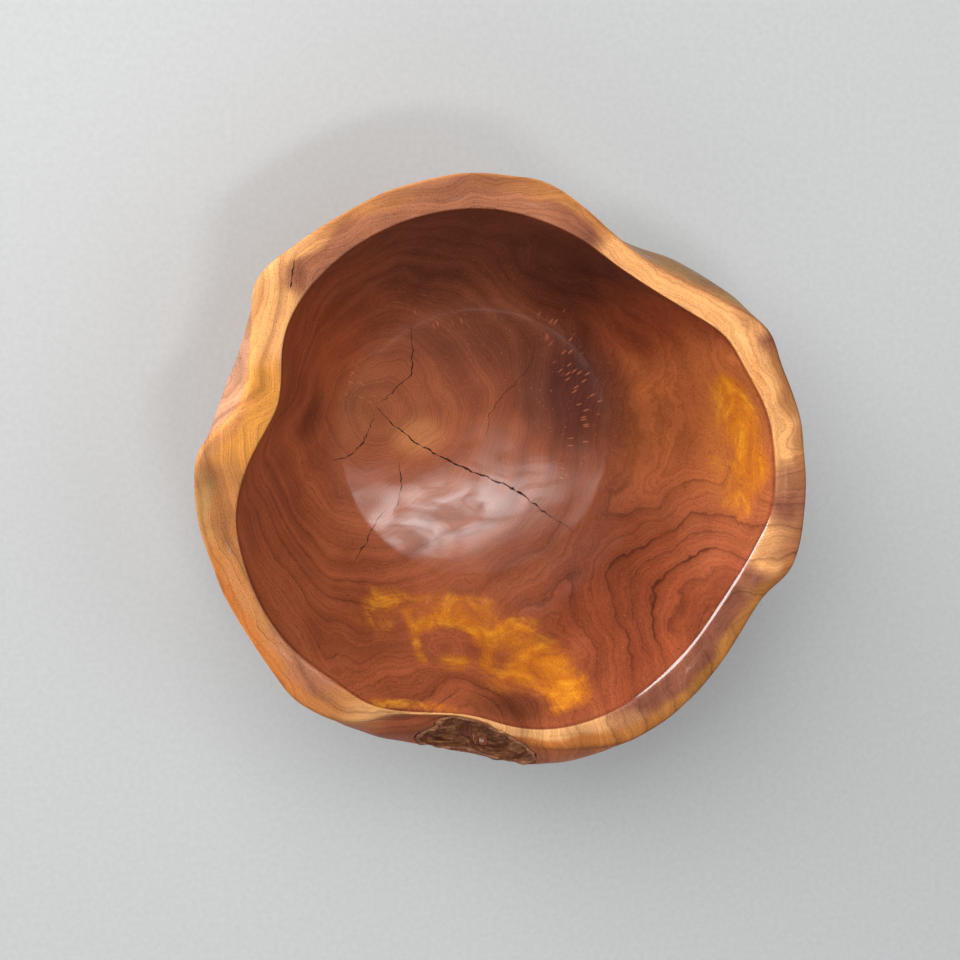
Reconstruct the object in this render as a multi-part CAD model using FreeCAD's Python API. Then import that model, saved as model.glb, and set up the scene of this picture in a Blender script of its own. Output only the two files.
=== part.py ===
import FreeCAD, Part
import math
import os

# A freeform bowl carved from one cross-cut slice of a fluted teak trunk. The mouth faces +Z
# and the foot stands on z = 0. The rim follows the flutes of the trunk, the inside is turned
# down to a round floor, and one flute keeps a pocket of ingrown bark. The shrinkage checks in
# the floor and a small bark pocket on the rim are stopped with dark filler.
# Angles are in degrees, anticlockwise from +X round the middle of the mouth. Lengths are mm.

# Driving dimensions
RIM_HEIGHT = 118.0
FLOOR_HEIGHT = 22.0
FLOOR_CENTRE_RADIUS = 30.0
FLOOR_RADIUS = 86.0
FOOT_RADIUS = 96.0
SHOULDER_DROP = 22.0
BELLY_DROP = 55.0
BARK_THICKNESS = 3.0
CHECK_DEPTH = 6.0

# The inner edge of the rim
INNER_LIP = (
    (0, 157.5), (10, 155), (20, 149), (30, 145.5), (38, 137), (49, 130), (60, 129), (70, 133.5),
    (80, 138), (90, 142.5), (109, 147), (129, 148), (139, 146.5), (149, 141.5), (154, 136),
    (160, 130.5), (165, 130), (170, 133.5), (179, 142.5), (188, 150), (199, 153), (219, 155),
    (232, 152.5), (241, 153.5), (250, 148.5), (259, 144), (265, 144.5), (271, 149.5), (280, 155),
    (290, 157), (310, 154.5), (329, 152), (339, 154.5), (349, 159),
)

# The outer edge of the rim
OUTER_LIP = (
    (0, 177), (8, 175), (19, 170.5), (28, 169.5), (32, 162.5), (41, 150), (50, 142.5), (58, 141),
    (69, 148.5), (80, 159.5), (90, 163), (110, 166), (130, 168.5), (139, 172), (144, 172),
    (149, 160.5), (154, 154), (159, 150.5), (163, 147.5), (167, 151), (171, 158.5), (175, 169),
    (180, 171.5), (199, 170.5), (219, 172), (229, 176), (235, 173), (240, 168), (244, 158),
    (250, 150.5), (258, 146), (265, 148), (272, 158), (279, 167), (287, 173), (293, 178),
    (310, 178), (319, 175.5), (329, 172.5), (333, 172.5), (337, 181), (341, 183), (349, 181),
)

# The outside at SHOULDER_DROP below the rim, where the flutes are shallower
SHOULDER = (
    (0, 174), (20, 168), (31, 168.5), (42, 159), (50, 151), (57, 142), (64, 142.5), (70, 147),
    (80, 155), (90, 158.5), (110, 162), (130, 163.5), (140, 165), (147, 164), (155, 160),
    (163, 159.5), (171, 163.5), (180, 166), (200, 166.5), (220, 168.5), (232, 174.5), (244, 177),
    (260, 174), (268, 177), (276, 184), (288, 186), (300, 180), (320, 172), (331, 169.5),
    (340, 176),
)

# The outside at BELLY_DROP below the rim
BELLY = (
    (0, 160), (30, 156), (45, 152), (60, 145), (75, 145), (90, 147), (120, 150), (140, 151),
    (160, 150), (180, 152), (200, 152), (220, 154), (240, 159), (258, 160), (275, 165),
    (290, 166), (310, 160), (330, 156), (342, 160),
)

# How far the rim rises above or falls below RIM_HEIGHT
RIM_SWELL = (
    (0, 0.5), (30, 1.5), (60, -1.0), (100, 1.0), (140, 1.5), (163, -1.5), (185, 0.5),
    (228, 1.0), (256, -2.5), (290, 0.5), (330, -0.5),
)

# The inner wall from the floor to the lip: (share of the way out, share of the way up)
INNER_WALL = ((0.12, 0.05), (0.385, 0.20), (0.625, 0.43), (0.825, 0.67), (0.945, 0.88))

# Across the top of the rim: (share of the way out, drop below the rim)
RIM_TOP = ((0.01, 0.0), (0.10, 0.0), (0.32, 0.0), (0.62, 0.3), (0.86, 1.0))
INNER_EDGE_DROP = 1.8
OUTER_EDGE_SWELL = 0.6
OUTER_EDGE_DROP = 3.5

# Control points of the surface round the bowl
COLUMNS = 96
DEGREE = 3

# The bark pocket: overlapping ellipsoids given by centre, half-lengths and turn about Z
POCKET_LOBES = (
    ((-8.0, -160.0, 101.0), (34.0, 13.0, 23.0), -27.0),
    ((-28.0, -159.0, 100.0), (20.0, 11.0, 20.0), 4.0),
)

# Checks in the floor, as lines in plan, with their greatest width
CHECK_PATHS = {
    "check_fill_main": (1.4, (
        ((-60, 24), (-51, 13), (-36, 1), (-22, -7), (-5, -16), (6, -20), (23, -28), (38, -40),
         (60, -55)),
    )),
    "check_fill_left": (1.1, (
        ((-62, 19), (-65, 11), (-69, 2), (-76, -5), (-87, -8)),
    )),
    "check_fill_upper": (0.9, (
        ((-58, 26.5), (-46, 37), (-39, 43), (-38.5, 57), (-40, 71)),
    )),
    "check_fill_lower": (0.9, (
        ((-47, -10), (-46, -24), (-48, -36), (-52, -43)),
        ((-56, -39), (-63, -48), (-68, -59), (-76, -68)),
    )),
    "check_fill_faint": (0.7, (
        ((35, 53), (30, 43), (17, 30), (7, 16), (7, 4)),
    )),
}
CHECK_TIP_WIDTH = 0.3

# The small bark pocket in the top of the rim, as a line in plan
RIM_POCKET_PATH = ((-114.5, 117), (-116, 110), (-117, 101))
RIM_POCKET_WIDTH = 2.4
RIM_POCKET_DEPTH = 5.0


def secant(outline, index):
    """Change of radius per degree from one station to the next."""
    angle, radius = outline[index % len(outline)]
    next_angle, next_radius = outline[(index + 1) % len(outline)]
    return (next_radius - radius) / ((next_angle - angle) % 360.0)


def span(outline, index):
    """Degrees from one station to the next."""
    return (outline[(index + 1) % len(outline)][0] - outline[index % len(outline)][0]) % 360.0


def slope(outline, index):
    """Slope of the smooth outline at a station, weighted towards its nearer neighbour."""
    before, after = span(outline, index - 1), span(outline, index)
    return (secant(outline, index - 1) * after + secant(outline, index) * before) / (before + after)


def value_at(outline, angle):
    """Value of a closed outline at an angle, on the smooth curve through its stations."""
    index = max(i for i, station in enumerate(outline) if station[0] <= angle % 360.0)
    width = span(outline, index)
    t = (angle % 360.0 - outline[index][0]) / width
    start = outline[index][1]
    end = outline[(index + 1) % len(outline)][1]
    start_slope = slope(outline, index) * width
    end_slope = slope(outline, index + 1) * width
    return (
        start * (1 + 2 * t) * (1 - t) ** 2
        + start_slope * t * (1 - t) ** 2
        + end * t * t * (3 - 2 * t)
        + end_slope * t * t * (t - 1)
    )


def profile(angle):
    """Control points (radius, height) from the middle of the floor over the rim to the foot."""
    inner = value_at(INNER_LIP, angle)
    outer = value_at(OUTER_LIP, angle)
    shoulder = value_at(SHOULDER, angle)
    belly = value_at(BELLY, angle)
    top = RIM_HEIGHT + value_at(RIM_SWELL, angle)

    points = [
        (FLOOR_CENTRE_RADIUS, FLOOR_HEIGHT),
        (0.70 * FLOOR_RADIUS, FLOOR_HEIGHT),
        (0.91 * FLOOR_RADIUS, FLOOR_HEIGHT),
        (FLOOR_RADIUS, FLOOR_HEIGHT + 0.4),
    ]
    for out, up in INNER_WALL:
        points.append((
            FLOOR_RADIUS + out * (inner - FLOOR_RADIUS),
            FLOOR_HEIGHT + up * (top - FLOOR_HEIGHT),
        ))
    points.append((inner, top - INNER_EDGE_DROP))
    for out, drop in RIM_TOP:
        points.append((inner + out * (outer - inner), top - drop))
    points.append((outer + OUTER_EDGE_SWELL, top - OUTER_EDGE_DROP))
    points.append(((outer + shoulder) / 2, top - 0.5 * SHOULDER_DROP))
    points.append((shoulder, top - SHOULDER_DROP))
    points.append(((shoulder + belly) / 2 + 2.5, top - 0.5 * (SHOULDER_DROP + BELLY_DROP)))
    points.append((belly, top - BELLY_DROP))
    points.append((0.52 * belly + 0.48 * FOOT_RADIUS + 4.0, 0.5 * (top - BELLY_DROP) + 4.0))
    points.append((FOOT_RADIUS + 9.0, 12.0))
    points.append((FOOT_RADIUS + 2.5, 2.5))
    points.append((FOOT_RADIUS, 0.0))
    points.append((FOOT_RADIUS - 8.0, 0.0))
    return points


def uniform_knots(spans):
    """Whole-number knots for a clamped surface direction with this many spans."""
    knots = [float(k) for k in range(spans + 1)]
    mults = [DEGREE + 1] + [1] * (spans - 1) + [DEGREE + 1]
    return knots, mults


def bowl_surface():
    """One smooth surface, closed round the bowl, from the floor over the rim to the foot."""
    poles = []
    for column in range(COLUMNS):
        angle = 360.0 * column / COLUMNS
        cosine, sine = math.cos(math.radians(angle)), math.sin(math.radians(angle))
        poles.append([FreeCAD.Vector(r * cosine, r * sine, z) for r, z in profile(angle)])
    across_knots, across_mults = uniform_knots(len(poles[0]) - DEGREE)
    round_knots = [float(k) for k in range(COLUMNS + 1)]
    surface = Part.BSplineSurface()
    surface.buildFromPolesMultsKnots(
        poles, [1] * (COLUMNS + 1), across_mults, round_knots, across_knots,
        True, False, DEGREE, DEGREE)
    return surface


def facing(face, up):
    """The face, turned over if need be so that its outside is up or down."""
    u_first, u_last, v_first, v_last = face.ParameterRange
    normal = face.normalAt((u_first + u_last) / 2, (v_first + v_last) / 2)
    if (normal.z > 0) != up:
        face.reverse()
    return face


def carved_block():
    """The bowl as one solid, before the bark pocket and the checks are cut."""
    wall = bowl_surface().toShape().Faces[0]
    rings = [edge for edge in wall.Edges if edge.isClosed()]
    rings.sort(key=lambda ring: ring.BoundBox.ZMax)
    foot = facing(Part.Face(Part.Wire([rings[0]])), False)
    floor = facing(Part.Face(Part.Wire([rings[1]])), True)
    if wall.normalAt(0.0, 0.0).z < 0:
        wall.reverse()
    return Part.Solid(Part.Shell([wall, floor, foot]))


def ellipsoid(centre, half_lengths, turn):
    """A solid ellipsoid, turned about a vertical line through its centre."""
    matrix = FreeCAD.Matrix()
    matrix.scale(*half_lengths)
    matrix.rotateZ(math.radians(turn))
    matrix.move(FreeCAD.Vector(*centre))
    return Part.makeSphere(1.0).transformGeometry(matrix)


def pocket(inset):
    """The bark pocket, drawn in by an inset all round."""
    lobes = [
        ellipsoid(centre, [length - inset for length in half_lengths], turn)
        for centre, half_lengths, turn in POCKET_LOBES
    ]
    return lobes[0].fuse(lobes[1:])


def ribbon(path, width, bottom, top):
    """An upright plate that follows a line in plan, widest in its middle."""
    points = [FreeCAD.Vector(x, y, 0) for x, y in path]
    left, right = [], []
    for index, point in enumerate(points):
        before, after = points[max(index - 1, 0)], points[min(index + 1, len(points) - 1)]
        along = (after - before).normalize()
        across = FreeCAD.Vector(-along.y, along.x, 0)
        middle = math.sin(math.pi * index / (len(points) - 1))
        half = 0.5 * (CHECK_TIP_WIDTH + (width - CHECK_TIP_WIDTH) * middle)
        left.append(point + across * half)
        right.append(point - across * half)
    outline = left + right[::-1]
    face = Part.Face(Part.makePolygon(outline + outline[:1]))
    face.translate(FreeCAD.Vector(0, 0, bottom))
    return face.extrude(FreeCAD.Vector(0, 0, top - bottom))


def floor_check(width, paths):
    """The slits of one check, from below the floor up through it."""
    bottom = FLOOR_HEIGHT - CHECK_DEPTH
    top = FLOOR_HEIGHT + 15.0
    plates = [ribbon(path, width, bottom, top) for path in paths]
    return Part.makeCompound(plates)


def write_node(name, shape, offset):
    """Move a node into the bowl's frame and write it as one STEP file."""
    placed = shape.copy()
    placed.translate(offset)
    placed.exportStep(os.path.join("parts", name + ".step"))
    print(name, "solids", len(placed.Solids), "valid", placed.isValid(),
          "cm3 %.3f" % (placed.Volume / 1000.0))


def main():
    os.makedirs("parts", exist_ok=True)
    block = carved_block()

    recess = pocket(0.0)
    bark = block.common(recess).cut(pocket(BARK_THICKNESS))
    body = block.cut(recess)

    slits = {name: floor_check(width, paths) for name, (width, paths) in CHECK_PATHS.items()}
    slits["rim_pocket_fill"] = ribbon(
        RIM_POCKET_PATH, RIM_POCKET_WIDTH, RIM_HEIGHT - RIM_POCKET_DEPTH, RIM_HEIGHT + 6.0)
    nodes = {}
    for name, slit in slits.items():
        nodes[name] = block.common(slit)
        body = body.cut(slit)
    nodes["bowl_body"] = body
    nodes["bark_lining"] = bark

    box = block.optimalBoundingBox(False, False)
    offset = FreeCAD.Vector(-box.Center.x, -box.Center.y, 0)
    print("size mm %.2f x %.2f x %.2f" % (box.XLength, box.YLength, box.ZMax))
    print("offset mm %.3f %.3f" % (offset.x, offset.y))
    for name, shape in nodes.items():
        write_node(name, shape, offset)


main()
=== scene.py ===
import math

import bpy
import numpy as np
from mathutils import Matrix, Vector
from mathutils.bvhtree import BVHTree


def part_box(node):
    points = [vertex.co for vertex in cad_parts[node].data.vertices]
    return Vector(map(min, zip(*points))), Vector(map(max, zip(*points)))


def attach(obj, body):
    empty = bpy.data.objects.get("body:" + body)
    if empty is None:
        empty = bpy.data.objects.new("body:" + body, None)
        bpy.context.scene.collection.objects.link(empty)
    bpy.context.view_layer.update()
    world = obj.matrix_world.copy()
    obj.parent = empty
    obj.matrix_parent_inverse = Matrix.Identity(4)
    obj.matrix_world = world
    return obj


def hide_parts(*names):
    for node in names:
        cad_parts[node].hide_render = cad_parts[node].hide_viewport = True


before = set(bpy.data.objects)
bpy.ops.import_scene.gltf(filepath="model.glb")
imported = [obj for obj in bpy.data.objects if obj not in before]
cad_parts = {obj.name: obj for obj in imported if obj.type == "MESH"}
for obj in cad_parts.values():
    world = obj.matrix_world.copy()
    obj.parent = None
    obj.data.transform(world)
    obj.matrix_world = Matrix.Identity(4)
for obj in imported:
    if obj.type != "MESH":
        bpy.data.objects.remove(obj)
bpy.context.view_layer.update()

MM = 0.001

# ---- shape of the bowl
# Lengths are mm and angles are degrees anticlockwise from +X round the middle of the mouth.
# The outlines and the profile are those of the carved block in the design.
RIM_HEIGHT = 118.0
FLOOR_HEIGHT = 22.0
FLOOR_CENTRE_RADIUS = 30.0
FLOOR_RADIUS = 86.0
FOOT_RADIUS = 96.0
SHOULDER_DROP = 22.0
BELLY_DROP = 55.0

INNER_LIP = (
    (0, 157.5), (10, 155), (20, 149), (30, 145.5), (38, 137), (49, 130), (60, 129), (70, 133.5),
    (80, 138), (90, 142.5), (109, 147), (129, 148), (139, 146.5), (149, 141.5), (154, 136),
    (160, 130.5), (165, 130), (170, 133.5), (179, 142.5), (188, 150), (199, 153), (219, 155),
    (232, 152.5), (241, 153.5), (250, 148.5), (259, 144), (265, 144.5), (271, 149.5), (280, 155),
    (290, 157), (310, 154.5), (329, 152), (339, 154.5), (349, 159),
)
OUTER_LIP = (
    (0, 177), (8, 175), (19, 170.5), (28, 169.5), (32, 162.5), (41, 150), (50, 142.5), (58, 141),
    (69, 148.5), (80, 159.5), (90, 163), (110, 166), (130, 168.5), (139, 172), (144, 172),
    (149, 160.5), (154, 154), (159, 150.5), (163, 147.5), (167, 151), (171, 158.5), (175, 169),
    (180, 171.5), (199, 170.5), (219, 172), (229, 176), (235, 173), (240, 168), (244, 158),
    (250, 150.5), (258, 146), (265, 148), (272, 158), (279, 167), (287, 173), (293, 178),
    (310, 178), (319, 175.5), (329, 172.5), (333, 172.5), (337, 181), (341, 183), (349, 181),
)
SHOULDER = (
    (0, 174), (20, 168), (31, 168.5), (42, 159), (50, 151), (57, 142), (64, 142.5), (70, 147),
    (80, 155), (90, 158.5), (110, 162), (130, 163.5), (140, 165), (147, 164), (155, 160),
    (163, 159.5), (171, 163.5), (180, 166), (200, 166.5), (220, 168.5), (232, 174.5), (244, 177),
    (260, 174), (268, 177), (276, 184), (288, 186), (300, 180), (320, 172), (331, 169.5),
    (340, 176),
)
BELLY = (
    (0, 160), (30, 156), (45, 152), (60, 145), (75, 145), (90, 147), (120, 150), (140, 151),
    (160, 150), (180, 152), (200, 152), (220, 154), (240, 159), (258, 160), (275, 165),
    (290, 166), (310, 160), (330, 156), (342, 160),
)
RIM_SWELL = (
    (0, 0.5), (30, 1.5), (60, -1.0), (100, 1.0), (140, 1.5), (163, -1.5), (185, 0.5),
    (228, 1.0), (256, -2.5), (290, 0.5), (330, -0.5),
)
INNER_WALL = ((0.12, 0.05), (0.385, 0.20), (0.625, 0.43), (0.825, 0.67), (0.945, 0.88))
RIM_TOP = ((0.01, 0.0), (0.10, 0.0), (0.32, 0.0), (0.62, 0.3), (0.86, 1.0))
INNER_EDGE_DROP = 1.8
OUTER_EDGE_SWELL = 0.6
OUTER_EDGE_DROP = 3.5
CONTROL_COLUMNS = 96
DEGREE = 3
LIP_PLACE = 3.0 + len(INNER_WALL)        # where the inner lip is, counted in control rows
RIM_PLACES = 1.0 + len(RIM_TOP)          # how many control rows the top of the rim takes

# The bark pocket: overlapping ellipsoids given by centre, half-lengths and turn about Z
POCKET_LOBES = (
    ((-8, -160, 101), (34, 13, 23), -27),
    ((-28, -159, 100), (20, 11, 20), 4),
)
POCKET_INWARD = np.array([0.086, 0.612, -0.786])     # the way into the pocket
POCKET_EDGE_SHARE = 0.15     # no nearer to the inner lip than this share of the rim
POCKET_CLEARANCE = 2.5       # the block stays this far behind the bark

# A stretch of the inner edge of the rim that has been sanded flat and polished
POLISHED_LIP = ((122, -96, 116), (80, 80, 40))
BEVEL_TILT = 40.0
BEVEL_DEPTH = 0.9

# The visible mesh
MESH_COLUMNS = 424
PATCH_SPACING = 4.0          # between rows in the flat middle of the floor
FOOT_PATCH_STEP = 0.12       # between rows in the flat middle of the foot, as a share
POCKET_ANGLE = 268.0         # columns are closer together here
POCKET_SPREAD = 17.0
POCKET_CROWDING = 1.3
EVEN_SAMPLES = 4001

# A point's rim share is 0 at the inner lip and 1 at the outer lip. These are well off the rim.
FAR_INSIDE, FAR_OUTSIDE = -9.0, 9.0


def smooth(low, high, value):
    """0 below low, 1 above high and a smooth step between."""
    t = np.clip((value - low) / (high - low), 0.0, 1.0)
    return t * t * (3.0 - 2.0 * t)


def outline_at(stations, angles):
    """The smooth closed curve through (angle, value) stations, read at many angles."""
    place = np.array([s[0] for s in stations], float)
    value = np.array([s[1] for s in stations], float)
    span = np.diff(np.append(place, place[0] + 360.0))
    secant = np.diff(np.append(value, value[0])) / span
    span_before, secant_before = np.roll(span, 1), np.roll(secant, 1)
    slope = (secant_before * span + secant * span_before) / (span_before + span)
    turned = angles % 360.0
    start = np.searchsorted(place, turned, side="right") - 1
    end = (start + 1) % len(place)
    t = (turned - place[start]) / span[start]
    return (
        value[start] * (1 + 2 * t) * (1 - t) ** 2
        + slope[start] * span[start] * t * (1 - t) ** 2
        + value[end] * t * t * (3 - 2 * t)
        + slope[end] * span[start] * t * t * (t - 1)
    )


def control_points():
    """Control points of the surface: columns round the bowl, rows from floor to foot."""
    angles = np.arange(CONTROL_COLUMNS) * 360.0 / CONTROL_COLUMNS
    inner = outline_at(INNER_LIP, angles)
    outer = outline_at(OUTER_LIP, angles)
    shoulder = outline_at(SHOULDER, angles)
    belly = outline_at(BELLY, angles)
    top = RIM_HEIGHT + outline_at(RIM_SWELL, angles)
    rows = [
        (FLOOR_CENTRE_RADIUS, FLOOR_HEIGHT),
        (0.70 * FLOOR_RADIUS, FLOOR_HEIGHT),
        (0.91 * FLOOR_RADIUS, FLOOR_HEIGHT),
        (FLOOR_RADIUS, FLOOR_HEIGHT + 0.4),
        *((FLOOR_RADIUS + out * (inner - FLOOR_RADIUS), FLOOR_HEIGHT + up * (top - FLOOR_HEIGHT))
          for out, up in INNER_WALL),
        (inner, top - INNER_EDGE_DROP),
        *((inner + out * (outer - inner), top - drop) for out, drop in RIM_TOP),
        (outer + OUTER_EDGE_SWELL, top - OUTER_EDGE_DROP),
        ((outer + shoulder) / 2, top - 0.5 * SHOULDER_DROP),
        (shoulder, top - SHOULDER_DROP),
        ((shoulder + belly) / 2 + 2.5, top - 0.5 * (SHOULDER_DROP + BELLY_DROP)),
        (belly, top - BELLY_DROP),
        (0.52 * belly + 0.48 * FOOT_RADIUS + 4.0, 0.5 * (top - BELLY_DROP) + 4.0),
        (FOOT_RADIUS + 9.0, 12.0),
        (FOOT_RADIUS + 2.5, 2.5),
        (FOOT_RADIUS, 0.0),
        (FOOT_RADIUS - 8.0, 0.0),
    ]
    turn = np.radians(angles)
    level = np.ones(CONTROL_COLUMNS)
    points = [[r * np.cos(turn), r * np.sin(turn), z * level] for r, z in rows]
    return np.array(points).transpose(2, 0, 1)


def clamped_weights(count, places):
    """Cubic B-spline weights of control rows, for a curve that ends on its end points."""
    spans = count - DEGREE
    knots = np.concatenate([np.zeros(DEGREE), np.arange(spans + 1), np.full(DEGREE, spans)])
    places = np.clip(places, 0.0, spans - 1e-9)
    weights = np.zeros((len(places), len(knots) - 1))
    weights[np.arange(len(places)), places.astype(int) + DEGREE] = 1.0
    for degree in range(1, DEGREE + 1):
        raised = np.zeros((len(places), len(knots) - 1 - degree))
        for i in range(raised.shape[1]):
            left, right = knots[i + degree] - knots[i], knots[i + degree + 1] - knots[i + 1]
            if left > 0:
                raised[:, i] += (places - knots[i]) / left * weights[:, i]
            if right > 0:
                raised[:, i] += (knots[i + degree + 1] - places) / right * weights[:, i + 1]
        weights = raised
    return weights


def closed_weights(count, places):
    """Cubic B-spline weights of control columns, for a closed curve."""
    base = np.floor(places).astype(int)
    f = places - base
    pieces = (
        (1 - f) ** 3,
        3 * f ** 3 - 6 * f ** 2 + 4,
        -3 * f ** 3 + 3 * f ** 2 + 3 * f + 1,
        f ** 3)
    weights = np.zeros((len(places), count))
    for shift, piece in enumerate(pieces):
        np.add.at(weights, (np.arange(len(places)), (base - 1 + shift) % count), piece / 6.0)
    return weights


def even_places(low, high, spacing_at, steps_at, count=None):
    """Places from low to high, as far apart as spacing_at says, in lengths from steps_at."""
    fine = np.linspace(low, high, EVEN_SAMPLES)
    middle = (fine[1:] + fine[:-1]) / 2
    growth = np.append(0.0, np.cumsum(steps_at(fine) / spacing_at(middle)))
    number = count or int(round(growth[-1])) + 1
    return np.interp(np.linspace(0.0, growth[-1], number), growth, fine)


def surface_grid():
    """Points of the block's surface, as columns by rows, with each row's place."""
    control = control_points()
    row_count = control.shape[1]
    mean_profile = np.array([
        np.hypot(control[:, :, 0], control[:, :, 1]).mean(0), control[:, :, 2].mean(0)]).T

    def lengths(fine):
        curve = clamped_weights(row_count, fine) @ mean_profile
        return np.linalg.norm(np.diff(curve, axis=0), axis=1)

    rim_last = LIP_PLACE + RIM_PLACES + 1.5
    last = float(row_count - DEGREE)

    def row_spacing(place):
        return np.interp(
            place,
            (0.0, LIP_PLACE - 1.4, LIP_PLACE - 0.5, LIP_PLACE + 1.2, LIP_PLACE + 2.5, rim_last,
             rim_last + 3.0, last),
            (1.6, 1.9, 0.45, 0.45, 1.0, 1.0, 2.3, 3.0))

    def column_spacing(angle):
        near = np.exp(-(((angle - POCKET_ANGLE + 180.0) % 360.0 - 180.0) / POCKET_SPREAD) ** 2)
        return 1.0 / (1.0 + POCKET_CROWDING * near)

    rows = even_places(0.0, last, row_spacing, lengths)
    angles = even_places(0.0, 360.0, column_spacing, np.diff, MESH_COLUMNS + 1)[:-1]
    across = clamped_weights(row_count, rows)
    around = closed_weights(CONTROL_COLUMNS, angles * CONTROL_COLUMNS / 360.0)
    return np.einsum("ic,crk,jr->ijk", around, control, across), rows


def unit_normals(grid):
    """Outward unit normals of a grid that is closed round its columns."""
    round_step = np.roll(grid, -1, axis=0) - np.roll(grid, 1, axis=0)
    row_step = np.gradient(grid, axis=1)
    normals = np.cross(row_step, round_step)
    normals /= np.linalg.norm(normals, axis=2, keepdims=True)
    return normals * np.sign(normals[0, 0, 2])


RIPPLE_WAVES = 28
RIPPLE_HEIGHT = 0.6


def ripples(points, wavelength, seed, stretch=(1, 1, 1)):
    """A smooth random field of about -1 to 1, with its main wavelength in mm."""
    random = np.random.default_rng(seed)
    directions = random.normal(size=(RIPPLE_WAVES, 3))
    directions /= np.linalg.norm(directions, axis=1, keepdims=True)
    pace = 2.0 * np.pi / (wavelength * random.uniform(0.6, 1.6, (RIPPLE_WAVES, 1)))
    phase = random.uniform(0.0, 2.0 * np.pi, RIPPLE_WAVES)
    angle = points @ (directions * pace / np.array(stretch)).T + phase
    return np.sin(angle).sum(-1) * math.sqrt(2.0 / RIPPLE_WAVES) * RIPPLE_HEIGHT


# ---- growth of the wood
TRUNK_PITH = np.array([-58.0, 22.0])
TRUNK_LEAN = np.array([0.10, 0.06])
TRUNK_MEAN_RADIUS = 165.0
SIDE_STEM = np.array([211.0, -124.0])
SIDE_STEM_WIDTH = 1.5        # its rings are this much wider than they are long
SIDE_STEM_START = 26.0
SIDE_STEM_ROUNDNESS = 3.0
STEM_BLEND = 10.0            # mm of growth over which the two stems' rings run together
LONG_WARP, SHORT_WARP = (5.0, 75.0), (1.6, 27.0)     # height and wavelength of the rings' waves
UP_TRUNK = (1, 1, 2)         # waves in the rings are this much longer up the trunk

# Branch knots in the wall: centre, half-lengths and how strongly they bend the rings
KNOTS = (
    ((-25, -119, 62), (17, 15, 15), 1),
    ((145, 8, 92), (15, 40, 24), 1),
    ((32, -131, 72), (26, 20, 18), 0.5),
    ((79, -79, 42), (3.5, 3.5, 3.5), 0.7),
)

# Gold-coloured wood: centre, half-lengths and strength
GOLD_PATCHES = (
    ((137, 38, 95), (11, 13, 16), 0.95),
    ((145, 18, 94), (12, 18, 19), 1),
    ((151, -4, 98), (12, 16, 18), 1),
    ((147, -26, 92), (11, 13, 15), 0.62),
    ((136, 8, 76), (14, 38, 15), 0.38),
    ((-56, -92, 37), (18, 10, 12), 0.40),
    ((-26, -95, 32), (24, 8, 10), 0.52),
    ((-4, -100, 35), (18, 10, 12), 0.55),
    ((16, -112, 44), (20, 11, 14), 0.78),
    ((31, -127, 64), (22, 13, 19), 1),
    ((43, -138, 87), (16, 11, 17), 0.95),
    ((14, -133, 78), (20, 9, 15), 0.60),
    ((-66, -98, 50), (20, 16, 18), 0.34),
    ((-19, -124, 67), (11, 8, 10), 0.52),
)

# Gold streaks: points on the surface, half-width and strength
GOLD_STREAKS = (
    (((-46, -100, 39), (-44, -106, 46), (-42, -113, 55), (-40, -122, 70)), 3, 0.55),
    (((-38, -107, 45), (-28, -103, 41), (-14, -104, 39), (-4, -110, 45), (2, -119, 55),
      (-2, -126, 67)), 5.2, 0.72),
    (((-72, -134, 112), (-58, -138, 108), (-47, -138, 107), (-26, -141, 111)), 4.5, 0.50),
    (((30, -147, 103), (42, -144, 100), (56, -140, 100)), 5, 0.42),
    (((149, 46, 119), (146, 60, 119)), 7, 0.40),
)

# How dark the growth lines are: centre, half-lengths and strength
LINE_PATCHES = (
    ((95, -85, 55), (62, 62, 60), 0.62),
    ((150, -20, 90), (40, 60, 50), 0.30),
    ((-105, -80, 70), (50, 70, 50), 0.35),
    ((-20, -140, 90), (70, 20, 22), 0.65),
)
LINE_STRENGTH = 0.22
FLOOR_FADE = 0.55            # how much of that the floor loses
FLOOR_LINES_EDGE = (72.0, 96.0)
RIM_LINES = 0.24             # how much the rim gains
RIM_FADE = 0.75              # how much of the patches the rim loses

# Marks left by the gouge, in a band where the floor meets the wall
GOUGE_BANDS = (
    (((45, 78, 28), (52, 58, 24), (62, 40, 23), (68, 24, 23), (62, 4, 22), (54, -18, 22)), 8),
    (((-71, 44, 24), (-74, 33, 24), (-66, 31, 23)), 5),
    (((-34, 79, 27), (-22, 73, 25), (-10, 74, 25)), 4.5),
    (((-34, -97, 31), (-10, -97, 30), (10, -98, 30)), 4),
)

# Where the oil finish on the floor has kept its gloss: centre, half-lengths and coat weight
GLOSS_PATCHES = (
    ((-38, -40, 22), (54, 26, 16), 0.40),
    ((26, -22, 22), (46, 30, 16), 0.22),
)
WALL_GLOSS = 0.26
RIM_GLOSS = 0.09
FLOOR_GLOSS = 0.02
POLISH_GLOSS = 4.0           # more than a full coat, so that smears don't dull it
DULLING = 0.92               # the share of the gloss lost in the bend and on the inner lip
FLOOR_GLOSS_EDGE = (81.0, 85.0)
BEND_START, BEND_END = (76.0, 82.0), (98.0, 112.0)


def lobe(points, centre, half_lengths):
    """1 at a centre, falling smoothly to 0 at about one and a half half-lengths."""
    reach = np.linalg.norm((points - np.array(centre)) / np.array(half_lengths), axis=-1)
    return 1.0 - smooth(0.35, 1.5, reach)


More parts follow.
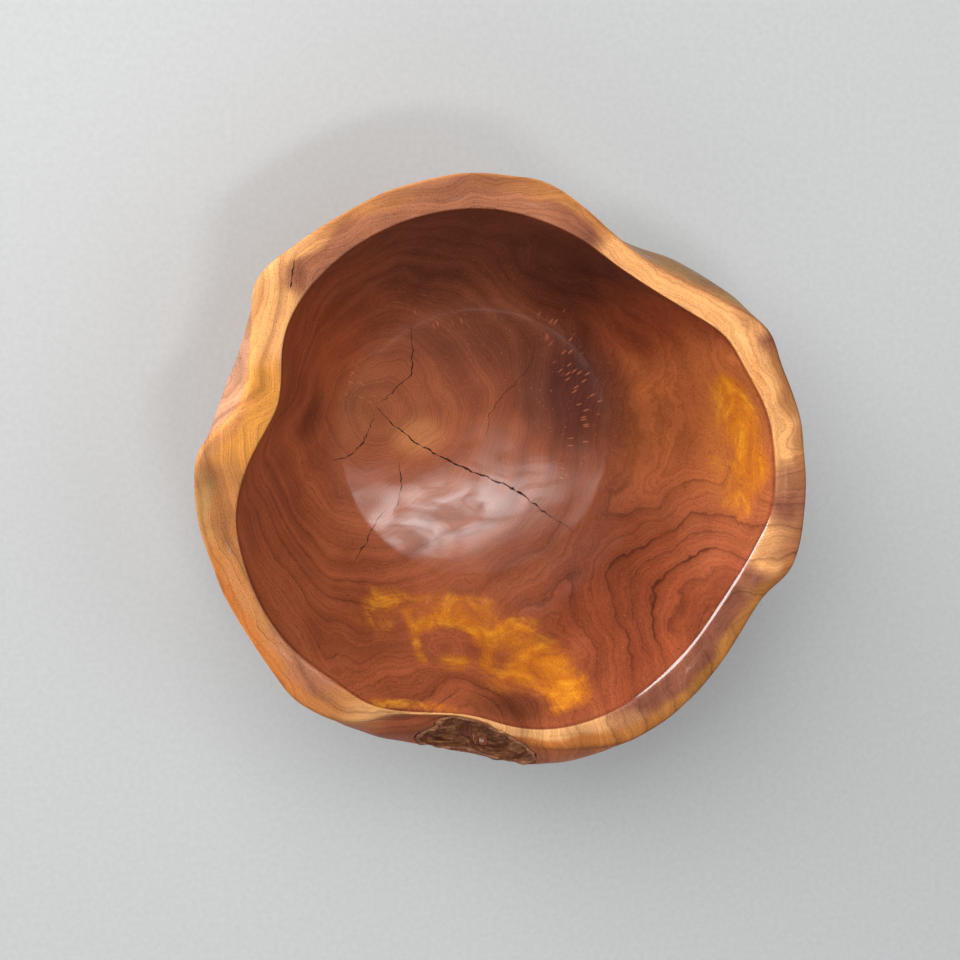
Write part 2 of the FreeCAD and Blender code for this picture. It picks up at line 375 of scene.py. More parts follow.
def ring_field(points):
    """How far the wood at each point has grown from its pith, in mm of growth."""
    warped = points.copy()
    for axis in range(2):
        for seed, (height, wavelength) in ((11, LONG_WARP), (21, SHORT_WARP)):
            warped[..., axis] += height * ripples(points, wavelength, seed + axis, UP_TRUNK)
    rise = warped[..., 2:] - FLOOR_HEIGHT
    from_pith = warped[..., :2] - TRUNK_PITH - TRUNK_LEAN * rise
    distance = np.linalg.norm(from_pith, axis=-1)
    heading = np.degrees(np.arctan2(from_pith[..., 1], from_pith[..., 0])) % 360.0

    around = np.radians([s[0] for s in OUTER_LIP])
    reach = np.array([s[1] for s in OUTER_LIP])
    edge = np.array([reach * np.cos(around), reach * np.sin(around)]).T - TRUNK_PITH
    edge_heading = np.degrees(np.arctan2(edge[:, 1], edge[:, 0])) % 360.0
    order = np.argsort(edge_heading)
    outline = np.interp(heading, edge_heading[order], np.linalg.norm(edge, axis=1)[order],
                        period=360.0)
    share = distance / outline
    outer = smooth(0.30, 0.95, share)
    field = distance * (1.0 - outer) + share * TRUNK_MEAN_RADIUS * outer

    from_side = np.abs(warped[..., :2] - SIDE_STEM) / np.array([SIDE_STEM_WIDTH, 1.0])
    side = (from_side ** SIDE_STEM_ROUNDNESS).sum(-1) ** (1.0 / SIDE_STEM_ROUNDNESS)
    side += SIDE_STEM_START
    blend = np.clip(0.5 + 0.5 * (side - field) / STEM_BLEND, 0.0, 1.0)
    field = side * (1.0 - blend) + field * blend - 0.5 * STEM_BLEND * blend * (1.0 - blend)

    for centre, half_lengths, strength in KNOTS:
        offset = (points - np.array(centre)) / np.array(half_lengths)
        size = float(np.mean(half_lengths))
        reach = np.linalg.norm(offset, axis=-1)
        closed = 1.0 - smooth(0.5, 1.25, reach)
        field = field + strength * closed * (0.9 * size * (reach - 1.0) - 0.35 * size)
    return field


def near_path(points, path, half_width):
    """1 on a line through the given points, falling smoothly to 0 at two half-widths."""
    corners = np.array(path, float)
    nearest = np.full(points.shape[:-1], 1e9)
    for start, end in zip(corners[:-1], corners[1:]):
        along = end - start
        share = np.clip((points - start) @ along / (along @ along), 0.0, 1.0)
        away = np.linalg.norm(points - start - share[..., None] * along, axis=-1)
        nearest = np.minimum(nearest, away)
    return 1.0 - smooth(0.2 * half_width, 2.0 * half_width, nearest)


def joined(points, patches, streaks=()):
    """How much of the patches and streaks there is at each point, from 0 to 1."""
    rest = np.ones(points.shape[:-1])
    for centre, half_lengths, strength in patches:
        rest *= 1.0 - strength * lobe(points, centre, half_lengths)
    for path, half_width, strength in streaks:
        rest *= 1.0 - strength * near_path(points, path, half_width)
    return 1.0 - rest


# ---- tones of the wood, with some painted shade and a painted highlight
def tone(red, green, blue):
    """A colour given as it looks on screen, 0 to 255, as a linear colour."""
    screen = np.array([red, green, blue]) / 255.0
    return np.where(screen <= 0.04045, screen / 12.92, ((screen + 0.055) / 1.055) ** 2.4)


GOLDEN = tone(194, 130, 60)
HONEY = tone(178, 106, 52)
TAN = tone(174, 114, 66)
CREAM = tone(212, 156, 100)
PEACH = tone(218, 156, 98)
PINK_BROWN = tone(158, 100, 72)
PURPLE_BROWN = tone(134, 80, 60)
OLIVE_GOLD = tone(172, 114, 58)
RED_BROWN = tone(153, 82, 52)
DEEP_RED = tone(141, 70, 42)
DARK_BROWN = tone(108, 60, 43)
DARKEST = tone(88, 46, 34)
ORANGE_BROWN = tone(173, 97, 54)
FLOOR_BROWN = tone(152, 84, 55)
FLOOR_PURPLE = tone(84, 42, 33)
FLOOR_TAN = tone(182, 118, 74)
BARK_SKIN = tone(196, 142, 108)
GREY_GOLD = tone(164, 124, 76)
EDGE_RED = tone(118, 56, 34)
# a pale orange, partly a painted highlight where the outer corner faces the light
EDGE_ORANGE_HIGHLIGHT = tone(236, 158, 86)
ROUGH_BROWN = tone(92, 50, 32)

# Round the rim: angle, tone of its inner half, tone of its outer half
RIM_TONES = (
    (0, PEACH, TAN), (9, PEACH, PEACH), (18, PEACH, TAN), (26, PEACH, PURPLE_BROWN),
    (32, PEACH, PEACH), (60, PEACH, PEACH), (70, PURPLE_BROWN, TAN),
    (84, PINK_BROWN, TAN), (100, PINK_BROWN, PINK_BROWN), (120, PINK_BROWN, TAN),
    (134, PINK_BROWN, PEACH), (142, PEACH, PEACH), (150, PEACH, PEACH),
    (160, GOLDEN, GOLDEN), (172, GOLDEN, TAN), (185, TAN, GREY_GOLD), (200, TAN, HONEY),
    (215, TAN, HONEY), (228, PINK_BROWN, HONEY), (236, TAN, TAN), (242, CREAM, CREAM),
    (249, CREAM, RED_BROWN), (264, CREAM, RED_BROWN), (274, CREAM, HONEY), (286, CREAM, HONEY),
    (298, PURPLE_BROWN, OLIVE_GOLD), (334, PURPLE_BROWN, OLIVE_GOLD), (341, PEACH, TAN),
    (352, PURPLE_BROWN, PINK_BROWN),
)

# On the inner wall: angle, tone. The dark top wall, 60 to 115 degrees, is dark wood and painted
# shade.
WALL_TONES = (
    (0, ORANGE_BROWN), (22, ORANGE_BROWN), (36, DEEP_RED), (60, DARKEST), (85, DARK_BROWN),
    (115, DARK_BROWN), (145, DEEP_RED), (175, RED_BROWN), (285, RED_BROWN), (302, DEEP_RED),
    (325, DEEP_RED), (340, RED_BROWN),
)

# On the outside: angle, tone
OUTSIDE_TONES = (
    (0, HONEY), (40, GREY_GOLD), (60, GREY_GOLD), (90, HONEY), (130, TAN), (152, BARK_SKIN),
    (170, BARK_SKIN), (190, HONEY), (230, HONEY), (248, RED_BROWN), (275, RED_BROWN),
    (300, HONEY), (330, OLIVE_GOLD),
)

# Patches of another tone: centre, half-lengths, tone and strength
TONE_PATCHES = (
    ((-36, 6, 22), (15, 11, 12), FLOOR_TAN, 0.80),
    ((-70, 25, 24), (16, 20, 14), FLOOR_TAN, 0.25),
    ((-104, 22, 38), (12, 14, 14), DARKEST, 0.65),
    ((60, 30, 24), (34, 40, 16), FLOOR_PURPLE, 0.90),
    ((10, 68, 26), (60, 26, 16), FLOOR_PURPLE, 0.45),
    ((48, -66, 26), (24, 16, 12), PURPLE_BROWN, 0.30),
    ((-2, -150, 96), (44, 14, 18), ROUGH_BROWN, 0.85),
    ((-114, 109, 118), (5, 10, 8), DARK_BROWN, 0.60),
    ((-168, 0, 116), (9, 9, 12), ROUGH_BROWN, 0.45),
)
TONE_WANDER = 4.0                # degrees by which the tones' borders wander
FLOOR_TONE_EDGE = (78.0, 106.0)  # the floor's tone fades into the wall's between these radii
INNER_EDGE_TINT = 0.6
OUTER_EDGE_TINT = 0.5


def tones_at(stations, angles, column):
    """Colours between (angle, tone, ...) stations, blended round the bowl."""
    places = np.array([s[0] for s in stations], float)
    colours = np.array([s[column] for s in stations])
    channels = [np.interp(angles, places, colours[:, c], period=360.0) for c in range(3)]
    return np.stack(channels, -1)


def wood_tone_and_painted_light(points, rim_share, outside):
    """Ground colour at each point: wood tones with painted shade and a painted corner highlight."""
    angles = np.degrees(np.arctan2(points[..., 1], points[..., 0])) % 360.0
    angles = angles + TONE_WANDER * ripples(points, 30.0, 31)
    radius = np.hypot(points[..., 0], points[..., 1])
    rim_inner, rim_outer = tones_at(RIM_TONES, angles, 1), tones_at(RIM_TONES, angles, 2)
    wall, skin = tones_at(WALL_TONES, angles, 1), tones_at(OUTSIDE_TONES, angles, 1)
    middle = (1.0 - smooth(*FLOOR_TONE_EDGE, radius))[..., None]
    inside = wall * (1.0 - middle) + FLOOR_BROWN * middle
    across = smooth(0.56, 0.74, rim_share + 0.08 * ripples(points, 22.0, 33))[..., None]
    rim = rim_inner * (1.0 - across) + rim_outer * across
    on_rim = (smooth(0.06, 0.14, rim_share) * (1.0 - smooth(0.98, 1.08, rim_share)))[..., None]
    ground = rim * on_rim + np.where(outside[..., None] > 0.5, skin, inside) * (1.0 - on_rim)
    edge = (1.0 - smooth(0.04, 0.12, np.abs(rim_share - 0.08)))[..., None]
    ground = ground * (1.0 - INNER_EDGE_TINT * edge) + EDGE_RED * INNER_EDGE_TINT * edge

    # the outer corner is orange from the upper right round to the lower left, red elsewhere;
    # that orange is partly a painted highlight, on the side the light comes from
    turned = angles % 360.0
    orange = (smooth(40.0, 70.0, turned) * (1.0 - smooth(215.0, 240.0, turned)))[..., None]
    corner = EDGE_ORANGE_HIGHLIGHT * orange + EDGE_RED * (1.0 - orange)
    rounding = (1.0 - smooth(0.02, 0.09, np.abs(rim_share - 0.97)))[..., None]
    ground = ground * (1.0 - OUTER_EDGE_TINT * rounding) + corner * OUTER_EDGE_TINT * rounding

    for centre, half_lengths, patch, strength in TONE_PATCHES:
        share = (strength * lobe(points, centre, half_lengths))[..., None]
        ground = ground * (1.0 - share) + patch * share
    return ground


# ---- the carved block
def new_piece(name, points, faces):
    """A smooth-shaded mesh object from points in metres."""
    mesh = bpy.data.meshes.new(name)
    mesh.from_pydata(points.tolist(), [], faces)
    mesh.update()
    mesh.shade_smooth()
    piece = bpy.data.objects.new(name, mesh)
    bpy.context.scene.collection.objects.link(piece)
    return piece


def grid_faces(columns, rows):
    """Quads of a grid that is closed round its columns, with a fan at each end."""
    index = np.arange(columns * rows).reshape(columns, rows)
    following = np.roll(index, -1, axis=0)
    quads = np.stack([index[:, 1:], following[:, 1:], following[:, :-1], index[:, :-1]], -1)
    first, last = columns * rows, columns * rows + 1
    fans = [(int(index[c, 0]), int(following[c, 0]), first) for c in range(columns)]
    fans += [(int(following[c, -1]), int(index[c, -1]), last) for c in range(columns)]
    return quads.reshape(-1, 4).tolist() + fans


def store(mesh, name, values, kind="FLOAT"):
    """Keeps a value or a colour at every point of the mesh."""
    attribute = mesh.attributes.new(name, kind, "POINT")
    key = "color" if kind == "FLOAT_COLOR" else "value"
    attribute.data.foreach_set(key, np.ascontiguousarray(values, np.float32).ravel())


def bevel_lip(points, shares):
    """Sands a narrow flat on the inner edge of the rim, along the polished stretch."""
    turn = np.degrees(np.arctan2(points[..., 1], points[..., 0]))
    reach = np.hypot(points[..., 0], points[..., 1])
    inward = outline_at(INNER_LIP, turn) - reach
    up = points[..., 2] - RIM_HEIGHT - outline_at(RIM_SWELL, turn)
    across, rise = math.cos(math.radians(BEVEL_TILT)), math.sin(math.radians(BEVEL_TILT))
    depth = BEVEL_DEPTH * smooth(0.25, 0.75, lobe(points, *POLISHED_LIP))
    excess = np.maximum(inward * across + up * rise + depth, 0.0)
    excess *= (depth > 0.0) & (np.abs(shares) < 0.35)
    outward = np.stack([points[..., 0] / reach, points[..., 1] / reach, 0.0 * reach], -1)
    return points + excess[..., None] * (outward * across - np.array([0.0, 0.0, rise]))


def sink_pocket(points, movable):
    """Pushes the surface inwards, to the far side of each lobe of the bark pocket."""
    sunk = points.copy()
    # twice over, because a point that leaves one lobe can land in the other
    for centre, half_lengths, turn in POCKET_LOBES * 2:
        cosine, sine = math.cos(math.radians(turn)), math.sin(math.radians(turn))
        unturn = np.array([[cosine, sine, 0.0], [-sine, cosine, 0.0], [0.0, 0.0, 1.0]])
        offset = (sunk - np.array(centre)) @ unturn.T / np.array(half_lengths)
        heading = unturn @ POCKET_INWARD / np.array(half_lengths)
        inside = (np.linalg.norm(offset, axis=-1) < 1.0) & movable
        slope, steepness = offset @ heading, heading @ heading
        left = np.maximum(slope ** 2 + steepness * (1.0 - (offset ** 2).sum(-1)), 0.0)
        travel = np.where(inside, (np.sqrt(left) - slope) / steepness, 0.0)
        sunk += travel[..., None] * POCKET_INWARD
    moved = np.linalg.norm(sunk - points, axis=-1)
    return sunk + (POCKET_CLEARANCE * smooth(0.0, 3.0, moved))[..., None] * POCKET_INWARD


def with_flat_middles(grid, rim_share):
    """Adds rows for the flat middle of the floor and of the foot, down to a small hole."""
    floor_steps = np.arange(0.06, 0.99, PATCH_SPACING / FLOOR_CENTRE_RADIUS)[None, :, None]
    foot_steps = np.arange(0.9, 0.05, -FOOT_PATCH_STEP)[None, :, None]
    upright = np.array([0.0, 0.0, 1.0])
    level = np.ones(3) - upright
    floor_rows = grid[:, :1] * (level * floor_steps + upright)
    foot_rows = grid[:, -1:] * (level * foot_steps + upright)
    full = np.concatenate([floor_rows, grid, foot_rows], axis=1)
    shares = np.concatenate([
        np.full(floor_rows.shape[:2], FAR_INSIDE),
        np.broadcast_to(rim_share, grid.shape[:2]),
        np.full(foot_rows.shape[:2], FAR_OUTSIDE)], axis=1)
    return full, shares


def finish_coat(points, shares, reach, on_rim, is_outside):
    """How thick the oil finish is: worn off the floor in places, polished on one lip."""
    inside = (1.0 - on_rim) * (1.0 - is_outside)
    floor = (1.0 - smooth(*FLOOR_GLOSS_EDGE, reach)) * inside
    bend = smooth(*BEND_START, reach) * (1.0 - smooth(*BEND_END, reach)) * inside
    lip = 1.0 - smooth(0.08, 0.20, np.abs(shares - 0.10))
    top = on_rim * (1.0 - smooth(0.95, 1.15, shares))
    coat = WALL_GLOSS + (RIM_GLOSS - WALL_GLOSS) * top
    coat *= 1.0 - DULLING * np.maximum(bend, lip)
    glossy = FLOOR_GLOSS + joined(points, GLOSS_PATCHES)
    coat = coat * (1.0 - floor) + glossy * floor
    bevel = 1.0 - smooth(0.10, 0.20, np.abs(shares - 0.02))
    return coat + POLISH_GLOSS * bevel * lobe(points, *POLISHED_LIP)


def build_body():
    """The carved block: one closed mesh with its wood growth stored at every point."""
    block, rows = surface_grid()
    grid, shares = with_flat_middles(block, (rows - LIP_PLACE) / RIM_PLACES)
    centre = (grid.reshape(-1, 3).min(0) + grid.reshape(-1, 3).max(0)) / 2
    low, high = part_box("bowl_body")
    shift = (np.array(low) + np.array(high)) / 2 / MM - centre
    shift[2] = 0.0
    normals = unit_normals(grid)
    outside = (shares > 0.5).astype(float)

    # hand-sanded unevenness, more on the outside and none at the foot
    wave = 0.15 * ripples(grid, 62.0, 1) + 0.03 * ripples(grid, 24.0, 2)
    wave += outside * 0.40 * ripples(grid, 30.0, 3, (1, 1, 2.5))
    foot_fade = smooth(2.0, 14.0, grid[..., 2]) * outside + (1.0 - outside)
    shaped = grid + normals * (wave * foot_fade)[..., None]

    shaped = bevel_lip(shaped, shares)
    shaped = sink_pocket(shaped, shares > POCKET_EDGE_SHARE) + shift

    floor_middle, foot_middle = shaped[:, 0].mean(0), shaped[:, -1].mean(0)
    columns, row_count = shaped.shape[:2]
    points = np.vstack([shaped.reshape(-1, 3), floor_middle, foot_middle])
    shares = np.append(shares.ravel(), [FAR_INSIDE, FAR_OUTSIDE])

    body = new_piece("teak_bowl", points * MM, grid_faces(columns, row_count))
    local = points - shift
    is_outside = (shares > 0.5).astype(float)
    on_rim = smooth(-0.05, 0.05, shares)
    reach = np.hypot(local[:, 0], local[:, 1])
    lines = LINE_STRENGTH * (1.0 - FLOOR_FADE * (1.0 - smooth(*FLOOR_LINES_EDGE, reach)))
    lines += joined(local, LINE_PATCHES) * (1.0 - RIM_FADE * on_rim)
    fields = {
        "ring": ring_field(local),
        "lines": lines + RIM_LINES * on_rim,
        "gold": joined(local, GOLD_PATCHES, GOLD_STREAKS) * (1.0 - is_outside),
        "gouge": joined(local, (), [band + (1.0,) for band in GOUGE_BANDS]),
        "coat": finish_coat(local, shares, reach, on_rim, is_outside),
        "outside": is_outside,
        "sweep": np.abs(np.degrees(np.arctan2(local[:, 1], local[:, 0]))),
        "reach": reach,
    }
    for name, values in fields.items():
        store(body.data, name, values)
    ground = wood_tone_and_painted_light(local, shares, is_outside)
    store(body.data, "ground", np.hstack([ground, np.ones((len(ground), 1))]), "FLOAT_COLOR")
    return body, shift


# ---- checks and rim pocket
# Lines in plan, as in the design, each check with its greatest width
CHECKS = {
    "check_fill_main": (1.5, (
        ((-60, 24), (-51, 13), (-36, 1), (-22, -7), (-5, -16), (6, -20), (23, -28), (38, -40),
         (60, -55)),
    )),
    "check_fill_left": (1.1, (
        ((-62, 19), (-65, 11), (-69, 2), (-76, -5), (-87, -8)),
    )),
    "check_fill_upper": (0.9, (
        ((-58, 26.5), (-46, 37), (-39, 43), (-38.5, 57), (-40, 71)),
    )),
    "check_fill_lower": (0.9, (
        ((-47, -10), (-46, -24), (-48, -36), (-52, -43)),
        ((-56, -39), (-63, -48), (-68, -59), (-76, -68)),
    )),
    "check_fill_faint": (0.6, (
        ((35, 53), (30, 43), (17, 30), (7, 16), (7, 4)),
    )),
}
RIM_POCKET = ((-114.5, 117), (-116, 110), (-117, 101))
RIM_POCKET_WIDTH = 1.4
CHECK_STEP = 0.8
CHECK_PROUD = 0.07
CHECK_DEPTH = 1.2
CHECK_SEED, CHECK_SEED_STEP, RIM_POCKET_SEED = 60, 7, 120
ABOVE_RIM = 140.0            # the search for the wood below starts here


def along_path(path, step):
    """Points at even steps along a line in plan, the directions across it and how far along."""
    corners = np.array(path, float)
    lengths = np.append(0.0, np.cumsum(np.linalg.norm(np.diff(corners, axis=0), axis=1)))
    places = np.linspace(0.0, lengths[-1], max(6, int(lengths[-1] / step)))
    line = np.stack([np.interp(places, lengths, corners[:, c]) for c in range(2)], -1)
    kernel = np.array([1, 2, 3, 2, 1]) / 9.0
    padded = np.pad(line, ((2, 2), (0, 0)), mode="edge")
    eased = np.stack([np.convolve(padded[:, c], kernel, "valid") for c in range(2)], -1)
    line[1:-1] = eased[1:-1]
    along = np.gradient(line, axis=0)
    along /= np.linalg.norm(along, axis=1, keepdims=True)
    return line, np.stack([-along[:, 1], along[:, 0]], -1), places


def sliver(path, width, seed, surface, shift):
    """Points and faces of a ragged tapering sliver that lies in the wood's surface."""
    line, across, places = along_path(path, CHECK_STEP)
    flat = np.hstack([line, np.zeros((len(line), 1))])
    wander = 0.45 * ripples(flat, 7.0, seed) + 0.30 * ripples(flat, 2.6, seed + 2)
    line = line + across * wander[:, None]
    taper = np.sin(np.pi * np.clip(places / places[-1], 0.02, 0.98)) ** 0.6
    half = 0.5 * width * taper * (0.58 + 0.42 * ripples(flat, 4.0, seed + 1))
    half = np.maximum(half, 0.12)
    points = []
    for middle, side, reach in zip(line, across, half):
        centre = Vector((middle[0] + shift[0], middle[1] + shift[1], ABOVE_RIM)) * MM
        hit = surface.ray_cast(centre, Vector((0, 0, -1)))[0]
        height = hit.z / MM
        left, right = middle + side * reach, middle - side * reach
        points += [
            (*left, height + CHECK_PROUD * 0.5),
            (*middle, height + CHECK_PROUD),
            (*right, height + CHECK_PROUD * 0.5),
            (*middle, height - CHECK_DEPTH)]
    faces = []
    for i in range(len(line) - 1):
        a, b = 4 * i, 4 * (i + 1)
        faces += [(a + k, b + k, b + (k + 1) % 4, a + (k + 1) % 4) for k in range(4)]
    end = 4 * (len(line) - 1)
    faces += [(0, 1, 2, 3), (end + 3, end + 2, end + 1, end)]
    return np.array(points) + np.array([shift[0], shift[1], 0.0]), faces


def build_check(name, width, paths, surface, shift, seed):
    """One stopped check, as slivers joined in one piece."""
    points, faces = np.zeros((0, 3)), []
    for number, path in enumerate(paths):
        more, more_faces = sliver(path, width, seed + 10 * number, surface, shift)
        faces += [tuple(i + len(points) for i in face) for face in more_faces]
        points = np.vstack([points, more])
    return new_piece(name + "_look", points * MM, faces)


# ---- bark
BARK_MESH_SIZE = 0.55
BARK_SETBACK = 0.1           # keeps the lumps from standing out too far


def build_bark():
    """The ingrown bark: the design's lining, remeshed fine and broken up into fibres."""
    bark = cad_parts["bark_lining"].copy()
    bark.data = bark.data.copy()
    bark.name = "bark_fibres"
    bark.parent = None
    for key in list(bark.keys()):
        del bark[key]
    bpy.context.scene.collection.objects.link(bark)
    remesh = bark.modifiers.new("remesh", "REMESH")
    remesh.mode = "VOXEL"
    remesh.voxel_size = BARK_MESH_SIZE * MM
    depsgraph = bpy.context.evaluated_depsgraph_get()
    mesh = bpy.data.meshes.new_from_object(bark.evaluated_get(depsgraph))
    bark.modifiers.clear()
    bark.data = mesh
    count = len(mesh.vertices)
    points, normals = np.zeros(count * 3), np.zeros(count * 3)
    mesh.vertices.foreach_get("co", points)
    mesh.vertices.foreach_get("normal", normals)
    points, normals = points.reshape(-1, 3) / MM, normals.reshape(-1, 3)
    fibres = 0.45 * ripples(points, 3.2, 41, (4.0, 1.0, 1.2))
    lumps = 0.60 * ripples(points, 9.0, 42, (1.5, 1.0, 1.0))
    points += normals * (fibres + lumps - BARK_SETBACK)[:, None]
    mesh.vertices.foreach_set("co", (points * MM).ravel())
    mesh.update()
    mesh.shade_smooth()
    return bark


# ---- materials
class Graph:
    """Builds a material's nodes, with a short call for each kind used here."""

    def __init__(self, name):
        self.material = bpy.data.materials.new(name)
        self.material.use_nodes = True
        self.tree = self.material.node_tree
        self.tree.nodes.clear()
        self.shader = self.add("ShaderNodeBsdfPrincipled")
        self.add("ShaderNodeOutputMaterial", {"Surface": self.shader.outputs[0]})
        self.place = self.add("ShaderNodeTexCoord").outputs["Object"]

    def add(self, kind, inputs=(), **settings):
        """A node with its settings, and its inputs linked or set by name or number."""
        node = self.tree.nodes.new(kind)
        for key, value in settings.items():
            setattr(node, key, value)
        for key, value in dict(inputs).items():
            self.feed(node.inputs[key], value)
        return node

    def feed(self, target, value):
        if isinstance(value, bpy.types.NodeSocket):
            self.tree.links.new(value, target)
        else:
            target.default_value = value

    def give(self, socket, value):
        self.feed(self.shader.inputs[socket], value)

    def math(self, operation, *values, clamp=False):
        node = self.add("ShaderNodeMath", enumerate(values), operation=operation, use_clamp=clamp)
        return node.outputs[0]

    def sway(self, value, noise, amount):
        """Moves a value up and down by a noise that lies about 0.5."""
        return self.math("MULTIPLY_ADD", self.math("SUBTRACT", noise, 0.5), amount, value)

    def blend(self, first, first_share, second, second_share):
        return self.math("ADD", self.math("MULTIPLY", first, first_share),
                         self.math("MULTIPLY", second, second_share))

    def span(self, value, low, high, to_low=0.0, to_high=1.0):
        limits = (value, low, high, to_low, to_high)
        node = self.add("ShaderNodeMapRange", enumerate(limits), interpolation_type="SMOOTHSTEP")
        return node.outputs[0]

    def mix(self, share, first, second, blend_type="MIX"):
        node = self.add("ShaderNodeMix", {"Factor": share}, data_type="RGBA", blend_type=blend_type)
        for socket, value in zip((node.inputs[6], node.inputs[7]), (first, second)):
            self.feed(socket, value if isinstance(value, bpy.types.NodeSocket) else (*value, 1.0))
        return node.outputs[2]

    def attribute(self, name, colour=False):
        node = self.add("ShaderNodeAttribute", attribute_name=name)
        return node.outputs["Color" if colour else "Fac"]

    def stretched(self, factors):
        node = self.add("ShaderNodeVectorMath", enumerate((self.place, factors)),
                        operation="MULTIPLY")
        return node.outputs[0]

    def noise(self, scale, detail, roughness, vector=None, distortion=0.0):
        node = self.add("ShaderNodeTexNoise", {
            "Vector": vector or self.place, "Scale": scale, "Detail": detail,
            "Roughness": roughness, "Distortion": distortion})
        return node.outputs["Fac"]

    def bands(self, value, scale):
        node = self.add("ShaderNodeTexNoise", {"W": value, "Scale": scale, "Detail": 3.0},
                        noise_dimensions="1D")
        return node.outputs["Fac"]

    def ramp(self, value, stops):
        node = self.add("ShaderNodeValToRGB")
        while len(node.color_ramp.elements) < len(stops):
            node.color_ramp.elements.new(0.5)
        for element, (position, colour) in zip(node.color_ramp.elements, stops):
            element.position = position
            element.color = (*colour, 1.0)
        self.feed(node.inputs["Fac"], value)
        return node.outputs["Color"]

    def bump(self, height, distance, strength=1.0, normal=None):
        inputs = {"Strength": strength, "Distance": distance, "Height": height}
        if normal is not None:
            inputs["Normal"] = normal
        return self.add("ShaderNodeBump", inputs).outputs["Normal"]


# One growth ring: how dark the wood is from the pale early wood to the sharp late edge
RING_PROFILE = tuple((place, (dark,) * 3) for place, dark in (
    (0.0, 0.0), (0.35, 0.05), (0.58, 0.30), (0.65, 1.0), (0.71, 1.0), (0.78, 0.0)))


def ring_lines(graph, growth, period, start):
    """Dark late-wood lines of uneven strength, one to each period of growth."""
    turns = graph.math("MULTIPLY_ADD", growth, 1.0 / period, start)
    number = graph.math("FLOOR", turns)
    chance = graph.add("ShaderNodeTexWhiteNoise", {"W": number}, noise_dimensions="1D")
    strength = graph.math("MULTIPLY_ADD", chance.outputs["Value"], 0.75, 0.25)
    line = graph.ramp(graph.math("FRACT", turns), RING_PROFILE)
    return graph.math("MULTIPLY", line, strength)


def gouge_marks(graph):
    """Short marks that point to the middle of the bowl, where the gouge band is stored."""
    across = graph.math("MULTIPLY", graph.attribute("sweep"), 0.50)
    out = graph.math("MULTIPLY", graph.attribute("reach"), 0.10)
    place = graph.add("ShaderNodeCombineXYZ", {"X": across, "Y": out})
    cells = graph.add("ShaderNodeTexVoronoi", {"Vector": place.outputs[0], "Scale": 1.0},
                      voronoi_dimensions="2D", feature="F1")
    mark = graph.span(cells.outputs["Distance"], 0.26, 0.12)
    shown = graph.span(cells.outputs["Color"], 0.45, 0.55)
    band = graph.span(graph.attribute("gouge"), 0.25, 0.75)
    return graph.math("MULTIPLY", graph.math("MULTIPLY", mark, shown), band)


